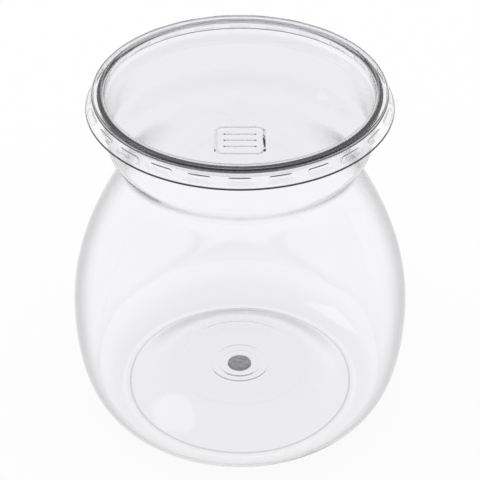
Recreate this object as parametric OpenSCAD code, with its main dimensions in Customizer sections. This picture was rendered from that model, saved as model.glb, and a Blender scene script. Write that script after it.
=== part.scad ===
// Dessert cup with a round belly, and its press-on lid, both of thin clear plastic.
// The cup is blown as one piece: a pushed-up base, a belly, a narrow neck, a collar
// and a rim bead. The lid is formed from one film: a sunk panel, a raised ring that
// sits over the bead, and a flared skirt with a row of snap lugs.
// Z is the axis of both pieces, and z = 0 is the surface that the cup stands on.

/* [Cup body] */
// Largest outer radius of the belly
belly_r = 44.7; // [43:0.1:50]
// Height of the widest part of the belly
belly_z = 28; // [25:0.5:31]
// How far up the belly stays full before it turns in towards the neck
belly_full = 24; // [20:0.5:27]
// How far down the belly stays full before it turns in towards the heel
belly_drop = 16; // [12:0.5:19]
// Outer radius at the narrow neck
neck_r = 30.2; // [28:0.1:32]
// Height of the narrow neck
neck_z = 73; // [71:0.5:75]
// Length of the hollow curve on each side of the neck
neck_curve = 4.5; // [3.5:0.1:5]
// Wall of the belly, neck and collar
wall = 0.6; // [0.5:0.05:0.8]

/* [Base] */
// Middle radius of the ring that the cup stands on
foot_r = 32.5; // [31:0.1:34]
// Width of the flat on that ring
foot_w = 0.8; // [0.5:0.1:1.5]
// How far the heel runs outwards before it turns up
heel_reach = 8.6; // [7:0.1:10]
// Height of the pushed-up base at its ridge
push_up = 6.2; // [5:0.1:7.5]
// Height of the dished middle of the base
dish_z = 5; // [4:0.1:5.8]
// Radius of the ridge round the dish
ridge_r = 17.8; // [15:0.1:20]
// Thickness of the base at its middle
base_wall = 1.3; // [1:0.05:1.8]
// Radius of the moulding gate disc
gate_r = 3.2; // [2.5:0.1:4]
// How far the gate disc stands out under the base
gate_h = 0.35; // [0.2:0.05:0.6]
// Section radius of the fine rings round the gate
ring_t = 0.2; // [0.12:0.02:0.3]
// Section radius of the ridge round the dish
ridge_t = 0.35; // [0.25:0.05:0.45]

/* [Collar and rim] */
// Outer radius of the collar at the rim
rim_r = 35; // [34:0.1:37]
// Height of the middle of the rim bead
rim_z = 94.1; // [93:0.1:97]
// Section radius of the rim bead
bead_r = 0.65; // [0.45:0.05:0.85]
// Height of the nearly straight collar under the rim
collar_h = 11.6; // [10:0.1:13]
// How much narrower the collar is at its foot
collar_taper = 1; // [0.5:0.1:1.6]

/* [Lid] */
// Thickness of the lid's film
film = 0.35; // [0.25:0.05:0.5]
// Gap between the lid and the rim bead, all round it
fit_gap = 0.2; // [0.15:0.05:0.3]
// Depth of the sunk panel below the top of the ring
sink = 3.7; // [3:0.1:5]
// Radius of the small bends in the film
bend_r = 0.8; // [0.6:0.05:0.9]
// Space between the rim bead and the skirt at its top
skirt_room = 0.95; // [0.8:0.05:1.3]
// Height of the flared skirt from its lip to the bend at its top
skirt_h = 3.7; // [3.4:0.1:4.5]
// How far the skirt flares out towards its lip
skirt_flare = 1.75; // [1.4:0.05:2.2]
// Width of the flat lip at the foot of the skirt
lip_w = 0.2; // [0.1:0.05:0.6]

/* [Snap lugs] */
// Number of snap lugs round the skirt
lugs = 24; // [16:1:26]
// Width of each lug, in degrees round the lid
lug_angle = 9.8; // [7:0.1:11]
// Height of each lug
lug_h = 1.9; // [1.5:0.1:2.1]
// Height of the foot of the lugs above the lip
lug_lift = 0.75; // [0.6:0.05:0.9]
// Slope of a lug's upper and lower faces, as the fall over its depth
lug_slope = 0.35; // [0.2:0.05:0.4]

/* [Raised mark on the lid] */
// Side of the square frame
mark_w = 12.6; // [10:0.1:14]
// Distance of the frame's middle from the middle of the lid
mark_y = 18.6; // [15:0.1:20]
// Width of the raised lines
mark_line = 0.9; // [0.6:0.05:1.1]
// Height of the raised lines above the panel
mark_h = 0.35; // [0.2:0.05:0.5]
// Corner radius of the frame
mark_corner = 2.4; // [1.5:0.1:3]
// Number of bars inside the frame
bars = 3; // [1:1:3]

/* [Hidden] */
$fn = 96;
// Steps along each curve of the profile
curve_steps = 12;
// Overlap that joins features to the wall that carries them
weld = 0.05;
clear_plastic = [0.90, 0.92, 0.94, 0.45];
lid_plastic = [0.93, 0.94, 0.96, 0.40];

collar_foot_r = rim_r - collar_taper;
collar_foot_z = rim_z - collar_h;
bore_r = rim_r - wall;
bead_mid_r = bore_r + bead_r;
bead_out_r = bead_mid_r + bead_r;
gate_rings = [gate_r + 2.4, gate_r + 4.7];

plug_r = bore_r - fit_gap;
lid_top = rim_z + bead_r + fit_gap + film;
panel_top = lid_top - sink;
skirt_r = bead_out_r + skirt_room + film;
skirt_top = lid_top - bend_r;
lip_z = skirt_top - skirt_h;
lug_r = bead_out_r + fit_gap;
lug_foot = lip_z + lug_lift;
lug_end = film / lug_r * 180 / PI;
bar_pitch = (mark_w - 2 * mark_line) / (bars + 1);

// Point of a cubic curve with its ends at a and d and its handles at b and c
function curve_at(a, b, c, d, t) =
    pow(1 - t, 3) * a + 3 * pow(1 - t, 2) * t * b + 3 * (1 - t) * t * t * c + t * t * t * d;

// Points of that curve, without the last one
function curve(a, b, c, d) = [for (i = [0 : curve_steps - 1]) curve_at(a, b, c, d, i / curve_steps)];

// Points of an arc about c, from angle a0 to angle a1
function arc(c, r, a0, a1) = [for (i = [0 : 6]) c + r * [cos(a0 + (a1 - a0) * i / 6), sin(a0 + (a1 - a0) * i / 6)]];

// Unit vector to the left of the line through point i
function left_of(line, i) =
    let (a = line[max(0, i - 1)], b = line[min(len(line) - 1, i + 1)], d = b - a)
    [-d[1], d[0]] / norm(d);

// Thickness of the cup's wall at a point of its outer line: thicker across the base
function wall_at(p) =
    p[0] < foot_r && p[1] < belly_z ? wall + (base_wall - wall) * (1 - p[0] / foot_r) : wall;

// The dish under the cup, from its middle to its ridge
dish_line = curve([0, dish_z], [ridge_r / 2, dish_z], [ridge_r * 0.7, push_up], [ridge_r, push_up]);

// The cup's outer line, from the middle of its base to its rim
cup_outer = concat(
    dish_line,
    curve([ridge_r, push_up], [ridge_r + 5, push_up], [foot_r - 4.5, 0], [foot_r - foot_w / 2, 0]),
    [[foot_r - foot_w / 2, 0]],
    curve([foot_r + foot_w / 2, 0], [foot_r + heel_reach, 0], [belly_r, belly_z - belly_drop], [belly_r, belly_z]),
    curve([belly_r, belly_z], [belly_r, belly_z + belly_full], [neck_r, neck_z - neck_curve], [neck_r, neck_z]),
    curve([neck_r, neck_z], [neck_r, neck_z + neck_curve],
          [collar_foot_r, collar_foot_z - neck_curve], [collar_foot_r, collar_foot_z]),
    [[collar_foot_r, collar_foot_z], [rim_r, rim_z]]
);

// The cup's inner line lies a wall's thickness to the left of its outer line
cup_inner = [for (i = [0 : len(cup_outer) - 1])
    let (p = cup_outer[i], t = wall_at(p))
    i == 0 ? [0, p[1] + t] : i == len(cup_outer) - 1 ? [bore_r, rim_z] : p + t * left_of(cup_outer, i)];

function reversed(line) = [for (i = [len(line) - 1 : -1 : 0]) line[i]];

module cup_rings() {
    translate([0, 0, dish_z - gate_h])
        cylinder(r = gate_r, h = gate_h + base_wall / 2);
    rotate_extrude()
        translate([ridge_r, push_up])
            circle(r = ridge_t);
    for (r = gate_rings)
        rotate_extrude()
            translate([r, lookup(r, dish_line)])
                circle(r = ring_t);
}

module cup() {
    color(clear_plastic) union() {
        rotate_extrude()
            union() {
                polygon(concat(cup_outer, reversed(cup_inner)));
                translate([bead_mid_r, rim_z])
                    circle(r = bead_r);
            }
        cup_rings();
    }
}

// The film's section: its upper and outer face, then the same bends one film thinner
module film_section() {
    rotate_extrude()
        polygon(concat(
            [[0, panel_top]],
            arc([plug_r - film - bend_r, panel_top + bend_r], bend_r, -90, 0),
            arc([plug_r - film + bend_r, lid_top - bend_r], bend_r, 180, 90),
            arc([skirt_r - bend_r, lid_top - bend_r], bend_r, 90, 0),
            [[skirt_r + skirt_flare, lip_z + film], [skirt_r + skirt_flare + lip_w, lip_z + film],
             [skirt_r + skirt_flare + lip_w, lip_z], [skirt_r + skirt_flare - film, lip_z],
             [skirt_r - film, skirt_top]],
            arc([skirt_r - bend_r, lid_top - bend_r], bend_r - film, 0, 90),
            arc([plug_r - film + bend_r, lid_top - bend_r], bend_r - film, 90, 180),
            arc([plug_r - film - bend_r, panel_top + bend_r], bend_r + film, 0, -90),
            [[0, panel_top - film]]
        ));
}

// Section of one lug, from depth r in the skirt out past its flare, with its faces
// drawn in by t: t = 0 gives the lug's own body and t = film the pocket in it
module lug_section(r, reach, t) {
    polygon([
        [r, lug_foot + lug_slope + t],
        [r, lug_foot + lug_h - lug_slope - t],
        [reach, lug_foot + lug_h - t],
        [reach, lug_foot + t]
    ]);
}

// Radius of the skirt's outer face at height z
function skirt_at(z) = skirt_r + skirt_flare * (skirt_top - z) / skirt_h;

module lug_bodies() {
    for (i = [0 : lugs - 1])
        rotate(i * 360 / lugs - 90 - lug_angle / 2)
            rotate_extrude(angle = lug_angle)
                intersection() {
                    lug_section(lug_r, skirt_at(lip_z), 0);
                    polygon([[lug_r - 1, lip_z], [skirt_at(lip_z) - film / 2, lip_z],
                             [skirt_at(skirt_top) - film / 2, skirt_top], [lug_r - 1, skirt_top]]);
                }
}

module lug_pockets() {
    for (i = [0 : lugs - 1])
        rotate(i * 360 / lugs - 90 - lug_angle / 2 + lug_end)
            rotate_extrude(angle = lug_angle - 2 * lug_end)
                lug_section(lug_r + film, skirt_at(lip_z) + 1, film);
}

module rounded_square(w, r) {
    square([w - 2 * r, w], center = true);
    square([w, w - 2 * r], center = true);
    for (x = [-1, 1], y = [-1, 1])
        translate([x * (w / 2 - r), y * (w / 2 - r)])
            circle(r = r);
}

// A plain frame with bars, raised on the panel
module raised_mark() {
    translate([0, -mark_y, panel_top - weld])
        linear_extrude(mark_h + weld) {
            difference() {
                rounded_square(mark_w, mark_corner);
                rounded_square(mark_w - 2 * mark_line, mark_corner - mark_line);
            }
            for (i = [1 : bars])
                translate([0, mark_w / 2 - mark_line - i * bar_pitch])
                    square([mark_w - 5 * mark_line, mark_line], center = true);
        }
}

module lid() {
    color(lid_plastic) union() {
        difference() {
            union() {
                film_section();
                lug_bodies();
            }
            lug_pockets();
        }
        raised_mark();
    }
}

cup();
lid();
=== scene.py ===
# %% [markdown]
# # A clear dessert cup and its lid
#
# The object is two thin pieces of clear plastic. The cup is blown as one piece, with a pushed-up base,
# a round belly, a narrow neck, a collar and a rim bead. The lid is formed from one film that straddles
# the bead. Clear plastic has almost no colour of its own, so what the eye reads is the bending and
# mirroring of the light at its edges. That needs closed walls of a true thickness, smooth faces and
# a bright floor behind them, and this file builds those three things in that order.

# %% Load the frame
import math
import bpy
import numpy as np
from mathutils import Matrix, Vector


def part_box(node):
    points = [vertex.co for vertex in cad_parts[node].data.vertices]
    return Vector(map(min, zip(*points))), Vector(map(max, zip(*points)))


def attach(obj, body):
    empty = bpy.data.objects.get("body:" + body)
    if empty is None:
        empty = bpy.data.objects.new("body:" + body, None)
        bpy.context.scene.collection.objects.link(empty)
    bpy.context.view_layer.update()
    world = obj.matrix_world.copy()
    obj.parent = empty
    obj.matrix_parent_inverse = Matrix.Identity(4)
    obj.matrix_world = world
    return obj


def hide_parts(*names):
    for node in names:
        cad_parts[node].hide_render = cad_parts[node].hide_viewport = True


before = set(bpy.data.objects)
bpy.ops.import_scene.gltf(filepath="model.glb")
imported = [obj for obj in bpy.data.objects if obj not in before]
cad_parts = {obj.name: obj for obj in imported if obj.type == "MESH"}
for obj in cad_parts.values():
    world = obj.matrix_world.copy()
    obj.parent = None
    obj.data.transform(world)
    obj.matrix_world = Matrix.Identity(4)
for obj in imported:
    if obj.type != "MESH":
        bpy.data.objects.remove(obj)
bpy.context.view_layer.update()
MM = 0.001
CUP_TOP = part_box("cup")[1].z / MM
LID_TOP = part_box("lid")[1].z / MM
print("cup %.1f mm high, lid top at %.1f mm" % (CUP_TOP, LID_TOP))

# %% [markdown]
# ## Camera
#
# The photograph looks down on the cup from close by, so that the lid is an open ellipse and the base
# shows through the belly. A pinhole camera was worked out from the ellipses of the rim, the lid and the
# base: how much each is squashed gives the tilt, and how their widths differ gives the distance. Its
# place is written as a distance and an angle from a point on the cup's axis.

# %% Camera
SENSOR = 36.0
CAM_TILT = math.radians(36.27)
CAM_DISTANCE = 481.5 * MM
CAM_FOCUS_Z = 48.0 * MM
CAM_LENS = 136.6

cam_data = bpy.data.cameras.new("camera")
cam_data.sensor_width = SENSOR
cam_data.lens = CAM_LENS
camera = bpy.data.objects.new("camera", cam_data)
bpy.context.scene.collection.objects.link(camera)
cam_back = CAM_DISTANCE * math.cos(CAM_TILT)
cam_rise = CAM_DISTANCE * math.sin(CAM_TILT)
camera.location = (0, -cam_back, CAM_FOCUS_Z + cam_rise)
camera.rotation_euler = (math.pi / 2 - CAM_TILT, 0, 0)
bpy.context.scene.camera = camera
print("camera at", [round(v, 4) for v in camera.location])

# %% [markdown]
# ## Helpers for colour, nodes and meshes
#
# Colours are written as the hex values that a paint program shows, and one function turns them to the
# linear numbers that a renderer adds up. Another adds a shader node with its settings and links in one
# line. The rest put a grid of points into a mesh and give its faces their materials: a surface is two
# tables, one of points and one of which points make a face, so numpy can fill both at once.

# %% Helpers


def hex_colour(code, alpha=1.0):
    """The sRGB value of each channel, turned to linear by the sRGB curve."""
    srgb = np.array([int(code[i:i + 2], 16) for i in (1, 3, 5)]) / 255
    linear = np.where(srgb <= 0.04045, srgb / 12.92, ((srgb + 0.055) / 1.055) ** 2.4)
    return (*linear.tolist(), alpha)


def add_node(material, kind, links=None, **settings):
    """A node of that kind: settings fill its sockets or properties, and links feed its sockets."""
    node = material.node_tree.nodes.new(kind)
    for name, value in settings.items():
        socket = name.replace("_", " ")
        match = [s for s in node.inputs if s.name.lower() == socket.lower()]
        if match:
            match[0].default_value = value
        else:
            setattr(node, name, value)
    for name, source in (links or {}).items():
        material.node_tree.links.new(source, node.inputs[name])
    return node


def grid_faces(rows, columns, closed_rows=False):
    """Each cell's corners (i, j), (i, j+1), (i+1, j+1), (i+1, j), in a grid whose columns run round."""
    row = np.arange(rows if closed_rows else rows - 1)[:, None]
    column = np.arange(columns)[None, :]
    next_row = (row + 1) % rows
    next_column = (column + 1) % columns
    cells = [row * columns + column, row * columns + next_column,
             next_row * columns + next_column, next_row * columns + column]
    return np.stack([np.broadcast_to(c, (row.size, columns)) for c in cells], axis=-1).reshape(-1, 4)


def fan_faces(centre, ring):
    """Triangles from a pole to a ring of points."""
    return np.stack([np.full(len(ring), centre), ring, np.roll(ring, -1)], axis=-1)


def make_piece(name, points, faces, material, body):
    """A smooth mesh of those points and faces, in the row's frame, that rides on a body."""
    mesh = bpy.data.meshes.new(name)
    mesh.from_pydata(points.tolist(), [], [f.tolist() for f in faces])
    mesh.polygons.foreach_set("use_smooth", np.ones(len(mesh.polygons), dtype=bool))
    mesh.update()
    piece = bpy.data.objects.new(name, mesh)
    bpy.context.scene.collection.objects.link(piece)
    mesh.materials.append(material)
    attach(piece, body)
    print(name, len(mesh.vertices), "points,", len(mesh.polygons), "faces")
    return piece


def face_centres(piece):
    """The distance from the axis and the height of each face's middle, in millimetres."""
    centres = np.zeros(len(piece.data.polygons) * 3)
    piece.data.polygons.foreach_get("center", centres)
    centres = centres.reshape(-1, 3) / MM
    return np.hypot(centres[:, 0], centres[:, 1]), centres[:, 2]


def paint_zones(piece, zones, materials):
    """Zone 0 keeps the piece's own material, and zones 1, 2 and on take the materials listed."""
    for material in materials:
        piece.data.materials.append(material)
    piece.data.polygons.foreach_set("material_index", zones.astype(np.int32))


print("middle grey, #808080, is %.3f in linear light" % hex_colour("#808080")[0])

# %% [markdown]
# ## Sizes
#
# Both pieces are round, so each is drawn first as a line in the half plane of radius and height.
# Lengths are in millimetres and angles in degrees, and the heights of the rim and the lid hang on the
# boxes of the two nodes in the frame. A few sizes differ from the solids' on purpose. The skirt is
# 0.4 mm longer, and the lugs sit as much higher above its lip, so that the lip lies where the
# photograph has it and the lugs stay in place. The lugs and the raised mark are shallower, because
# clear film draws steep slopes much darker than the photograph shows them.

# %% Sizes of the cup
BELLY_R = 44.7
BELLY_Z = 28.0
BELLY_FULL = 24.0
BELLY_DROP = 16.0
NECK_R = 30.2
NECK_Z = 73.0
NECK_CURVE = 4.5
RIM_R = 35.0
BEAD_R = 0.65
BEAD_START = -60
RIM_Z = CUP_TOP - BEAD_R
COLLAR_H = 11.6
COLLAR_TAPER = 1.0
WALL = 0.6
BASE_WALL = 1.3
FOOT_R = 32.5
FOOT_W = 0.8
FOOT_REACH = 4.5
HEEL_REACH = 8.6
PUSH_UP = 6.2
RIDGE_R = 17.8
RIDGE_REACH = 5.0
DISH_Z = 5.0
DISH_FULL = 0.7
GATE_R = 3.2
print("belly %.1f mm, neck %.1f mm, rim %.1f mm across" % (2 * BELLY_R, 2 * NECK_R, 2 * RIM_R))

# %% Sizes of the relief under the base
RELIEF_ROOM = 1.0
GATE_H = 0.35
GATE_TURN = 0.5
RIDGE_LINE_H = 0.14
RIDGE_LINE_W = 0.9
RING_GAPS = (2.4, 4.7)
RING_H = 0.18
RING_W = 0.45
print("gate %.1f mm across, with %d rings round it" % (2 * GATE_R, len(RING_GAPS)))

# %% Sizes of the lid
FILM = 0.35
FIT_GAP = 0.2
SINK = 3.7
BEND_R = 0.8
SKIRT_ROOM = 0.95
SKIRT_H = 4.1
SKIRT_FLARE = 1.75
FOLD_END = 5
FOLD_OUT = 0.1
FOLD_DOWN = 0.2
LIP_W = 0.2
LUGS = 24
LUG_ANGLE = 9.8
LUG_H = 1.9
LUG_LIFT = 1.15
LUG_TURN = 0.7
LUG_SHOWN = 0.45
MARK_W = 12.6
MARK_Y = 18.6
MARK_LINE = 0.9
MARK_SHOWN_H = 0.1
MARK_CORNER = 2.4
BARS = 3
print("film %.2f mm, %d lugs, a mark %.1f mm wide" % (FILM, LUGS, MARK_W))

# %% [markdown]
# ## Drawing a profile
#
# Long sweeping stretches are cubic curves, where two handles say how long the line keeps its direction,
# and small bends are arcs. Two soft windows, a hump and a step, press fine relief into a line without
# leaving a corner. A finished profile is carried round the axis as a grid of points.

# %% Profile helpers


def cubic(a, b, c, d, steps):
    """Points from a to d with handles b and c: each weight is a Bernstein polynomial of t."""
    t = np.linspace(0, 1, steps + 1)[:-1, None]
    a, b, c, d = (np.array(p, dtype=float) for p in (a, b, c, d))
    return (1 - t) ** 3 * a + 3 * (1 - t) ** 2 * t * b + 3 * (1 - t) * t ** 2 * c + t ** 3 * d


def arc(centre, radius, start, end, steps):
    """Points at the given radius from the centre, from one angle in degrees to another."""
    angle = np.radians(np.linspace(start, end, steps + 1))
    return np.array(centre) + radius * np.stack([np.cos(angle), np.sin(angle)], axis=-1)


def line(a, b, steps):
    """Evenly spaced points from a to b, without b."""
    t = np.linspace(0, 1, steps + 1)[:-1, None]
    return np.array(a) * (1 - t) + np.array(b) * t


def left_normals(path):
    """At each point, the direction of the path turned a quarter turn to the left."""
    along = np.gradient(path, axis=0)
    along /= np.linalg.norm(along, axis=1, keepdims=True)
    return np.stack([-along[:, 1], along[:, 0]], axis=-1)


def bump(x, centre, width):
    """A smooth hump of height 1 that is cos squared inside its width and 0 outside."""
    t = np.clip(np.abs(x - centre) / width, 0, 1)
    return np.cos(t * np.pi / 2) ** 2


def step_down(x, edge, width):
    """1 below the edge and 0 above it, with the turn 1 - t t (3 - 2 t) over the given width."""
    t = np.clip((x - edge) / width + 0.5, 0, 1)
    return 1 - t * t * (3 - 2 * t)


def revolve(profile, columns):
    """Each profile point (r, z) is carried round the axis: x = r sin(a), y = -r cos(a), z = z."""
    angle = np.linspace(0, 2 * np.pi, columns, endpoint=False)
    r, z = profile[:, :1], profile[:, 1:]
    return np.stack([r * np.sin(angle), -r * np.cos(angle), z + 0 * angle], axis=-1)


print("a step is", step_down(np.array([-1.0, 0.0, 1.0]), 0, 1), "below, at and above its edge")

# %% [markdown]
# ## The cup's profile
#
# The outer line starts under the middle of the base, at the milky disc where the plastic was fed in,
# rises to the ridge round the dish, falls to the ring that the cup stands on, and then follows the heel,
# the belly, the neck and the collar up to the bead. The inner line is the outer one moved inwards by the
# wall. Blown walls are thick across the base and thin elsewhere, so the move grows towards the axis.

# %% The cup's outer and inner line
ridge_top = (RIDGE_R, PUSH_UP)
foot_inside = (FOOT_R - FOOT_W / 2, 0)
foot_outside = (FOOT_R + FOOT_W / 2, 0)
belly = (BELLY_R, BELLY_Z)
neck = (NECK_R, NECK_Z)
collar_foot = (RIM_R - COLLAR_TAPER, RIM_Z - COLLAR_H)
bore_r = RIM_R - WALL
bead_mid = (bore_r + BEAD_R, RIM_Z)

outer_line = np.concatenate([
    cubic((0, DISH_Z), (RIDGE_R / 2, DISH_Z), (RIDGE_R * DISH_FULL, PUSH_UP), ridge_top, steps=60),
    cubic(ridge_top, (RIDGE_R + RIDGE_REACH, PUSH_UP), (FOOT_R - FOOT_REACH, 0), foot_inside, steps=24),
    [foot_inside],
    cubic(foot_outside, (FOOT_R + HEEL_REACH, 0), (BELLY_R, BELLY_Z - BELLY_DROP), belly, steps=30),
    cubic(belly, (BELLY_R, BELLY_Z + BELLY_FULL), (NECK_R, NECK_Z - NECK_CURVE), neck, steps=40),
    cubic(neck, (NECK_R, NECK_Z + NECK_CURVE), (collar_foot[0], collar_foot[1] - NECK_CURVE),
          collar_foot, steps=16),
    line(collar_foot, (RIM_R, RIM_Z - BEAD_R), steps=12),
])
share = np.clip(1 - outer_line[:, 0] / FOOT_R, 0, 1) * (outer_line[:, 1] < BELLY_Z)
wall = WALL + (BASE_WALL - WALL) * share
inner_line = outer_line + left_normals(outer_line) * wall[:, None]
inner_line[0] = (0, outer_line[0, 1] + wall[0])
print("wall from %.1f mm at the collar to %.1f mm at the gate" % (wall.min(), wall.max()))

# %% The relief under the base, and the bead
from_gate = outer_line[:, 0].copy()
under = (outer_line[:, 1] < PUSH_UP + RELIEF_ROOM) & (from_gate < RIDGE_R + RELIEF_ROOM)
outer_line[:, 1] -= under * GATE_H * step_down(from_gate, GATE_R, GATE_TURN)
outer_line[:, 1] -= under * RIDGE_LINE_H * bump(from_gate, RIDGE_R, RIDGE_LINE_W)
for gap in RING_GAPS:
    outer_line[:, 1] -= under * RING_H * bump(from_gate, GATE_R + gap, RING_W)

bead = arc(bead_mid, BEAD_R, BEAD_START, 180, steps=28)
inside = inner_line[inner_line[:, 1] < RIM_Z - BEAD_R][::-1]
cup_profile = np.concatenate([outer_line, bead, inside])
print("cup profile:", len(cup_profile), "points")

# %% [markdown]
# ## Clear plastic
#
# The cup is PET, drawn and blown, and the lid is the same plastic as a formed film. Both are as clear as
# glass and have a slightly higher refractive index than window glass. A faint grey is taken up along the
# way. Where the eye looks along a wall, as at the outline, the tint of the surface turns to a grey, which
# is painted shade standing in for the dark surroundings that the outline mirrors. The thick rim, and the
# sharp creases at the lid's lip and fold and at the cup's heel, bend the light away from the eye and are
# painted a greyer tint all over, as painted shade.
# Blowing and forming leave soft waves about a centimetre long, so a weak bump of that size bends the
# highlights. The disc under the base is where the plastic was fed in: it cooled slowly and is milky
# and rough.

# %% Clear plastic
PET_IOR = 1.57
PET_ROUGHNESS = 0.02
PET_GREY = "#86888c"
PET_GREY_PER_M = 30
WAVE_H = 0.012
EDGE_SHADE_START = 0.55
EDGE_SHADE_END = 0.95


def clear_plastic(name, tint, painted_edge_shade, wave_mm):
    """Clear plastic with waves of a real size, whose tint turns to a grey painted edge shade at a slant."""
    material = bpy.data.materials.new(name)
    material.use_nodes = True
    material.node_tree.nodes.clear()
    place = add_node(material, "ShaderNodeTexCoord")
    noise = add_node(material, "ShaderNodeTexNoise", {"Vector": place.outputs["Object"]},
                     Scale=1 / (wave_mm * MM), Detail=2.0, Roughness=0.4)
    waves = add_node(material, "ShaderNodeBump", {"Height": noise.outputs["Fac"]},
                     Strength=1.0, Distance=WAVE_H * MM)
    # Painted shade: towards the outline the colour turns from the tint to the grey edge shade, in place of
    # the dark surroundings mirrored there.
    slant = add_node(material, "ShaderNodeLayerWeight", Blend=0.5)
    tint_and_painted_edge_shade = add_node(material, "ShaderNodeValToRGB", {"Fac": slant.outputs["Facing"]})
    tint_and_painted_edge_shade.color_ramp.interpolation = "EASE"
    tint_and_painted_edge_shade.color_ramp.elements[0].position = EDGE_SHADE_START
    tint_and_painted_edge_shade.color_ramp.elements[0].color = hex_colour(tint)
    tint_and_painted_edge_shade.color_ramp.elements[1].position = EDGE_SHADE_END
    tint_and_painted_edge_shade.color_ramp.elements[1].color = hex_colour(painted_edge_shade)
    shader = add_node(material, "ShaderNodeBsdfPrincipled",
                      {"Normal": waves.outputs["Normal"], "Base Color": tint_and_painted_edge_shade.outputs["Color"]},
                      Roughness=PET_ROUGHNESS, IOR=PET_IOR, Transmission_Weight=1.0)
    haze = add_node(material, "ShaderNodeVolumeAbsorption", Color=hex_colour(PET_GREY),
                    Density=PET_GREY_PER_M)
    add_node(material, "ShaderNodeOutputMaterial",
             {"Surface": shader.outputs["BSDF"], "Volume": haze.outputs["Volume"]})
    return material


# The second colour of each material is the grey painted shade along its outline.
blown_pet = clear_plastic("PET, clear, blown", "#fdfdfe", "#8e8e94", wave_mm=9.0)
formed_pet = clear_plastic("PET film, clear, formed", "#fdfdfe", "#d0d0d4", wave_mm=12.0)
# The bead and the sharp creases are painted grey all over: painted shade where the plastic bends the light
# away from the eye.
rim_pet_painted_shade = clear_plastic("PET, clear, thick rim, painted shade", "#c4c2c8", "#a6a4aa", wave_mm=9.0)
crease_pet_painted_shade = clear_plastic("PET, clear, sharp crease, painted shade", "#c0c0c6", "#aaaab0", wave_mm=9.0)
print("materials:", blown_pet.name, "|", formed_pet.name, "|", rim_pet_painted_shade.name, "|", crease_pet_painted_shade.name)

# %% The milky gate
GRAIN = 0.9
GRAIN_H = 0.12


def milky_gate(name):
    """Milky rough plastic: the tint is speckled by noise with grains under a millimetre wide."""
    material = bpy.data.materials.new(name)
    material.use_nodes = True
    material.node_tree.nodes.clear()
    place = add_node(material, "ShaderNodeTexCoord")
    speckle = add_node(material, "ShaderNodeTexNoise", {"Vector": place.outputs["Object"]},
                       Scale=1 / (GRAIN * MM), Detail=4.0, Roughness=0.7)
    ramp = add_node(material, "ShaderNodeValToRGB", {"Fac": speckle.outputs["Fac"]})
    ramp.color_ramp.elements[0].position = 0.38
    ramp.color_ramp.elements[0].color = hex_colour("#8a8a8e")
    ramp.color_ramp.elements[1].position = 0.66
    ramp.color_ramp.elements[1].color = hex_colour("#f2f2f4")
    grain = add_node(material, "ShaderNodeBump", {"Height": speckle.outputs["Fac"]},
                     Strength=1.0, Distance=GRAIN_H * MM)
    shader = add_node(material, "ShaderNodeBsdfPrincipled",
                      {"Normal": grain.outputs["Normal"], "Base Color": ramp.outputs["Color"]},
                      Roughness=0.45, IOR=PET_IOR, Transmission_Weight=0.35)
    add_node(material, "ShaderNodeOutputMaterial", {"Surface": shader.outputs["BSDF"]})
    return material


gate_pet = milky_gate("PET gate, milky")
print("material:", gate_pet.name)

# %% [markdown]
# ## The cup
#
# The closed profile is carried round the axis. Its two ends lie on the axis and become single points, so
# that the shell has no pinhole. A blown wall is never quite even: the inner face gets a slow swell round
# the axis, less than a tenth of a millimetre high, which pulls the light into the soft upright streaks
# that such cups show. It fades out towards the middle of the base.

# %% The cup's surface
CUP_COLUMNS = 248
SWELL = 0.05
AXIS_ROOM = 1e-6


def wall_swell(turn, height):
    """SWELL (sin(3 a + z / 23) + 0.6 sin(7 a - z / 11)), with a the turn and z the height in mm."""
    return SWELL * (np.sin(3 * turn + height / 23) + 0.6 * np.sin(7 * turn - height / 11))


cup_grid = revolve(cup_profile[1:-1], CUP_COLUMNS)
cup_turn = np.linspace(0, 2 * np.pi, CUP_COLUMNS, endpoint=False)
inner_rows = np.arange(len(cup_grid)) >= len(outer_line) + len(bead) - 1
reach = np.clip(np.hypot(cup_grid[:, :, 0], cup_grid[:, :, 1]), AXIS_ROOM, None)
fade = inner_rows[:, None] * np.clip(reach / FOOT_R, 0, 1) ** 3
cup_grid[:, :, :2] *= (1 + wall_swell(cup_turn, cup_grid[:, :, 2]) * fade / reach)[:, :, None]

cup_rows = len(cup_grid)
cup_poles = [[0, 0, cup_profile[0, 1]], [0, 0, cup_profile[-1, 1]]]
cup_points = np.concatenate([cup_grid.reshape(-1, 3), cup_poles]) * MM
first_pole = cup_rows * CUP_COLUMNS
first_ring = np.arange(CUP_COLUMNS)
last_ring = (cup_rows - 1) * CUP_COLUMNS + np.arange(CUP_COLUMNS)
cup_faces = [*grid_faces(cup_rows, CUP_COLUMNS), *fan_faces(first_pole, first_ring[::-1]),
             *fan_faces(first_pole + 1, last_ring)]
cup_piece = make_piece("cup_shell", cup_points, cup_faces, blown_pet, "cup")
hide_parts("cup")

# %% The gate, and the painted shade on the bead and the heel line
GATE_EDGE = 0.1
GATE_DEEP = 0.3
BEAD_SHARE = 0.7
HEEL_LINE_R = 31.0
HEEL_LINE_W = 0.5
HEEL_LINE_H = 0.6
from_axis, height = face_centres(cup_piece)
on_gate = (from_axis < GATE_R + GATE_EDGE) & (height < DISH_Z + GATE_DEEP)
on_bead_painted_shade = height > RIM_Z - BEAD_R * BEAD_SHARE
on_heel_painted_shade = (np.abs(from_axis - HEEL_LINE_R) < HEEL_LINE_W / 2) & (height < HEEL_LINE_H)
# The bead and a thin line round the heel take the grey materials: painted shade for the light that the thick
# bead and the heel bend away.
paint_zones(cup_piece, np.select([on_gate, on_bead_painted_shade, on_heel_painted_shade], [1, 2, 3], 0), [gate_pet, rim_pet_painted_shade, crease_pet_painted_shade])
print("faces of the gate, bead and heel line:", int(on_gate.sum()), int(on_bead_painted_shade.sum()), int(on_heel_painted_shade.sum()))

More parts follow.
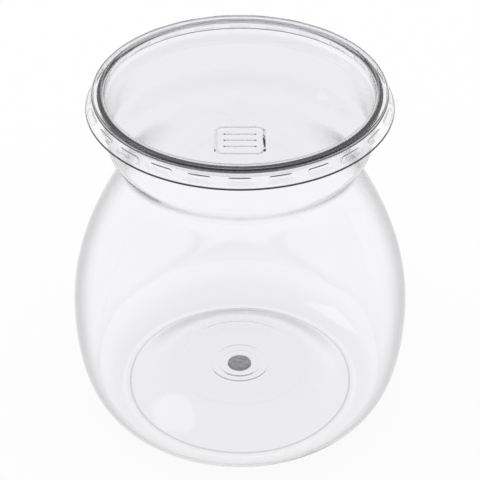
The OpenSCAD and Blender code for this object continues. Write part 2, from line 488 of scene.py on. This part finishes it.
# %% [markdown]
# ## The lid
#
# The lid is a film of one thickness, so its middle surface is worked out first and then moved half a
# film's thickness to either side along its own normals. The middle surface is the profile carried round,
# with the skirt pushed in at each snap lug. Each push is a smooth window: 1 inside the lug's rounded
# rectangle, 0 outside it, with a turn as wide as the film lets the plastic bend.

# %% The lid's middle line
half = FILM / 2
plug_mid = bore_r - FIT_GAP - half
skirt_mid = bead_mid[0] + BEAD_R + SKIRT_ROOM + half
panel_mid = LID_TOP - SINK - half
ring_mid = LID_TOP - half
skirt_top = LID_TOP - BEND_R
lip_z = skirt_top - SKIRT_H
bend = BEND_R - half
inner_bend = BEND_R + half
flare_end = (skirt_mid + SKIRT_FLARE, lip_z + half)
lid_line = np.concatenate([
    line((0.0, panel_mid), (plug_mid - inner_bend, panel_mid), steps=14),
    arc((plug_mid - inner_bend, panel_mid + inner_bend), inner_bend, -90, 0, steps=8),
    arc((plug_mid + bend, ring_mid - bend), bend, 180, 90, steps=8),
    arc((skirt_mid - bend, ring_mid - bend), bend, 90, FOLD_END, steps=8),
    line((skirt_mid + FOLD_OUT, skirt_top - FOLD_DOWN), flare_end, steps=26),
    line(flare_end, (flare_end[0] + LIP_W, flare_end[1]), steps=1),
])
print("lid line: panel at %.2f mm, lip at %.2f mm, %d points" % (panel_mid, lip_z, len(lid_line)))

# %% The snap lugs
LID_COLUMNS = 480
lid_grid = revolve(lid_line[1:], LID_COLUMNS)
lid_turn = np.degrees(np.linspace(0, 2 * np.pi, LID_COLUMNS, endpoint=False))
pitch = 360 / LUGS
from_lug = np.abs((lid_turn + pitch / 2) % pitch - pitch / 2) * np.pi / 180 * skirt_mid
lug_half_width = LUG_ANGLE / 2 * np.pi / 180 * skirt_mid
lug_middle = lip_z + LUG_LIFT + LUG_H / 2
from_middle = np.abs(lid_grid[:, :, 2] - lug_middle)
side_window = step_down(from_lug, lug_half_width - LUG_TURN / 2, LUG_TURN)[None, :]
rise_window = step_down(from_middle, LUG_H / 2 - LUG_TURN / 2, LUG_TURN)

lug_r = bead_mid[0] + BEAD_R + FIT_GAP + half
lid_reach = np.hypot(lid_grid[:, :, 0], lid_grid[:, :, 1])
on_skirt = lid_reach > skirt_mid - bend
push = LUG_SHOWN * np.clip(lid_reach - lug_r, 0, None) * side_window * rise_window * on_skirt
lid_grid[:, :, :2] *= (1 - push / lid_reach)[:, :, None]
print("%d lugs, pushed in by %.2f mm at most" % (LUGS, push.max()))

# %% The lid's film
PANEL_ROW = 5
along = np.gradient(lid_grid, axis=0)
around = (np.roll(lid_grid, -1, axis=1) - np.roll(lid_grid, 1, axis=1)) / 2
outward = np.cross(around, along)
outward /= np.linalg.norm(outward, axis=2, keepdims=True)
outward *= np.sign(outward[PANEL_ROW, 0, 2])
top_face = lid_grid + half * outward
low_face = lid_grid - half * outward
shell = np.concatenate([top_face, low_face[::-1]])

lid_rows = len(shell)
lid_poles = [[0, 0, panel_mid + half], [0, 0, panel_mid - half]]
lid_points = np.concatenate([shell.reshape(-1, 3), lid_poles]) * MM
top_pole = lid_rows * LID_COLUMNS
top_ring = np.arange(LID_COLUMNS)
low_ring = (lid_rows - 1) * LID_COLUMNS + np.arange(LID_COLUMNS)
lid_faces = [*grid_faces(lid_rows, LID_COLUMNS)[:, ::-1], *fan_faces(top_pole, top_ring),
             *fan_faces(top_pole + 1, low_ring[::-1])]
lid_piece = make_piece("lid_film", lid_points, lid_faces, formed_pet, "lid")

# %% Painted shade on the lip and the fold
LIP_EDGE = 0.05
FOLD_WIDE = 0.25
FOLD_DEEP = 0.12
from_axis, height = face_centres(lid_piece)
on_lip_painted_shade = from_axis > flare_end[0] - LIP_EDGE
on_fold_painted_shade = (from_axis > skirt_mid - FOLD_WIDE) & (height > skirt_top - FOLD_DEEP)
# The lip and the fold take the grey material: painted shade at these sharp creases.
paint_zones(lid_piece, on_lip_painted_shade | on_fold_painted_shade, [crease_pet_painted_shade])
print("faces of the lip and the fold:", int(on_lip_painted_shade.sum()), int(on_fold_painted_shade.sum()))

# %% [markdown]
# ## The raised mark
#
# A plain frame with bars stands on the panel near its front edge. Each line is a low smooth hump, which
# bends the light like a long thin lens and so shows as fine lines. The frame is one section carried
# along a rounded square, and each bar is the same section carried along a straight stretch, where it
# tapers off at both ends.

# %% The section and the path of the mark
HUMP_STEPS = 10
MARK_GAP = 0.01
section_angle = np.linspace(0, np.pi, HUMP_STEPS + 1)
mark_base = panel_mid + half + MARK_GAP


def ridge(path, outside, closed, size_along):
    """At each path point a hump: across = cos(a) half the line, up = sin(a) squared times its height."""
    across = np.cos(section_angle)[None, :, None] * MARK_LINE / 2 * outside[:, None, :]
    across = across * size_along[:, None, None]
    up = np.sin(section_angle)[None, :] ** 2 * MARK_SHOWN_H * size_along[:, None]
    points = np.concatenate([path[:, None, :] + across, (mark_base + up)[:, :, None]], axis=-1)
    return points, grid_faces(points.shape[0], points.shape[1], closed_rows=closed)[:, ::-1]


def rounded_square_path(side, corner, steps):
    """Points of a square with round corners, and the direction from each towards the outside."""
    points, outsides = [], []
    for quarter, (sx, sy) in enumerate([(1, 1), (-1, 1), (-1, -1), (1, -1)]):
        centre = np.array([sx, sy]) * (side / 2 - corner)
        angle = np.radians(np.linspace(quarter * 90, quarter * 90 + 90, steps + 1))
        outside = np.stack([np.cos(angle), np.sin(angle)], axis=-1)
        points.append(centre + corner * outside)
        outsides.append(outside)
    return np.concatenate(points), np.concatenate(outsides)


frame_path, frame_out = rounded_square_path(MARK_W - MARK_LINE, MARK_CORNER - MARK_LINE / 2, steps=10)
frame_points, frame_faces = ridge(frame_path + [0, -MARK_Y], frame_out, True, np.ones(len(frame_path)))
print("frame of the mark:", len(frame_path), "points along its path")

# %% The bars, and the mark as one piece
BAR_POINTS = 25
BAR_BLUNT = 12
BAR_END = 0.02
bar_pitch = (MARK_W - 2 * MARK_LINE) / (BARS + 1)
bar_half = (MARK_W - 5 * MARK_LINE) / 2
along_bar = np.sin(np.linspace(-np.pi / 2, np.pi / 2, BAR_POINTS))
bar_size = np.clip(1 - np.abs(along_bar) ** BAR_BLUNT, BAR_END, 1) ** 0.5
bar_outside = np.tile([0.0, -1.0], (BAR_POINTS, 1))
section = np.arange(HUMP_STEPS + 1)
last_section = (BAR_POINTS - 1) * len(section)

mark_points = [frame_points.reshape(-1, 3)]
mark_faces = [*frame_faces]
for k in range(BARS):
    y = -MARK_Y + MARK_W / 2 - MARK_LINE - (k + 1) * bar_pitch
    bar_path = np.stack([along_bar * bar_half, np.full(BAR_POINTS, y)], axis=-1)
    bar_points, bar_faces = ridge(bar_path, bar_outside, False, bar_size)
    first = sum(len(p) for p in mark_points)
    mark_points.append(bar_points.reshape(-1, 3))
    mark_faces += [*(bar_faces + first), section + first, section[::-1] + first + last_section]
mark_piece = make_piece("raised_mark", np.concatenate(mark_points) * MM, mark_faces, formed_pet, "lid")
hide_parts("lid")
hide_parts("lid")

# %% [markdown]
# ## Floor and light
#
# A clear object is pictured against light. The floor is white for the camera and for what is seen
# through or in the plastic, and keeps a part of its plain diffuse shading, so the shadow stays. The room
# is white too, for the camera and for what lights the floor. Only the rays that the plastic bends or
# mirrors meet a room that grows dimmer from the horizon up, as a studio does above its lit backdrop, and
# that dusk overhead, together with the grey painted shade in the plastic's tints, is what draws the rim,
# the folds and the outline in grey. One weak softbox on the left leaves a soft patch of light on the
# plastic.

# %% Floor
FLOOR_SIZE = 3.0
GLOW_SHARE = 0.93
floor_mesh = bpy.data.meshes.new("floor")
floor_mesh.from_pydata([(-FLOOR_SIZE, -FLOOR_SIZE, 0), (FLOOR_SIZE, -FLOOR_SIZE, 0),
                        (FLOOR_SIZE, FLOOR_SIZE, 0), (-FLOOR_SIZE, FLOOR_SIZE, 0)], [], [(0, 1, 2, 3)])
floor = bpy.data.objects.new("floor", floor_mesh)
bpy.context.scene.collection.objects.link(floor)
floor_paint = bpy.data.materials.new("floor, white")
floor_paint.use_nodes = True
floor_paint.node_tree.nodes.clear()
floor_rays = add_node(floor_paint, "ShaderNodeLightPath")
seen_or_mirrored = add_node(floor_paint, "ShaderNodeMath",
                            {0: floor_rays.outputs["Is Camera Ray"],
                             1: floor_rays.outputs["Is Glossy Ray"]}, operation="MAXIMUM")
seen_at_all = add_node(floor_paint, "ShaderNodeMath",
                       {0: seen_or_mirrored.outputs[0],
                        1: floor_rays.outputs["Is Transmission Ray"]}, operation="MAXIMUM")
glow = add_node(floor_paint, "ShaderNodeMath", {0: seen_at_all.outputs[0]}, operation="MULTIPLY")
glow.inputs[1].default_value = GLOW_SHARE
floor_white = add_node(floor_paint, "ShaderNodeBsdfDiffuse", Color=hex_colour("#f4f4f4"))
floor_glow = add_node(floor_paint, "ShaderNodeEmission", Color=hex_colour("#ffffff"), Strength=1.0)
floor_mix = add_node(floor_paint, "ShaderNodeMixShader",
                     {0: glow.outputs[0], 1: floor_white.outputs[0], 2: floor_glow.outputs[0]})
add_node(floor_paint, "ShaderNodeOutputMaterial", {"Surface": floor_mix.outputs[0]})
floor_mesh.materials.append(floor_paint)
print("floor %.0f m wide, glowing by %.2f" % (2 * FLOOR_SIZE, GLOW_SHARE))

# %% World
DUSK_TOP = 0.85
ROOM_LOW = 0.95
ROOM_HIGH = 0.24
world = bpy.data.worlds.new("studio")
bpy.context.scene.world = world
world.use_nodes = True
world.node_tree.nodes.clear()
world_rays = add_node(world, "ShaderNodeLightPath")
heading = add_node(world, "ShaderNodeTexCoord")
rise = add_node(world, "ShaderNodeSeparateXYZ", {"Vector": heading.outputs["Generated"]})
dusk = add_node(world, "ShaderNodeMapRange", {"Value": rise.outputs["Z"]}, interpolation_type="SMOOTHSTEP",
                From_Min=0.0, From_Max=DUSK_TOP, To_Min=ROOM_LOW, To_Max=ROOM_HIGH)
room = add_node(world, "ShaderNodeBackground", {"Strength": dusk.outputs["Result"]},
                Color=hex_colour("#ffffff"))
white = add_node(world, "ShaderNodeBackground", Color=hex_colour("#ffffff"), Strength=1.0)
lit = add_node(world, "ShaderNodeMath", {0: world_rays.outputs["Is Camera Ray"],
                                         1: world_rays.outputs["Is Diffuse Ray"]}, operation="MAXIMUM")
world_mix = add_node(world, "ShaderNodeMixShader",
                     {0: lit.outputs[0], 1: room.outputs[0], 2: white.outputs[0]})
add_node(world, "ShaderNodeOutputWorld", {"Surface": world_mix.outputs[0]})
print("room from %.2f at the horizon to %.2f overhead" % (ROOM_LOW, ROOM_HIGH))

# %% Lamp and light paths
SOFTBOX_SIZE = 0.7
SOFTBOX_POWER = 1.2
SOFTBOX_PLACE = (-0.9, 0.1, 0.9)
SURFACES_PASSED = 24
MIRRORINGS = 12

box_data = bpy.data.lights.new("key_left", "AREA")
box_data.size = SOFTBOX_SIZE
box_data.energy = SOFTBOX_POWER
softbox = bpy.data.objects.new("key_left", box_data)
bpy.context.scene.collection.objects.link(softbox)
softbox.location = SOFTBOX_PLACE
aim = Vector((0, 0, CAM_FOCUS_Z)) - softbox.location
softbox.rotation_euler = aim.to_track_quat("-Z", "Y").to_euler()
bpy.context.scene.view_settings.view_transform = "Standard"
bpy.context.scene.cycles.max_bounces = SURFACES_PASSED
bpy.context.scene.cycles.transmission_bounces = SURFACES_PASSED
bpy.context.scene.cycles.glossy_bounces = MIRRORINGS
print("softbox of %.1f W, light followed through %d surfaces" % (SOFTBOX_POWER, SURFACES_PASSED))
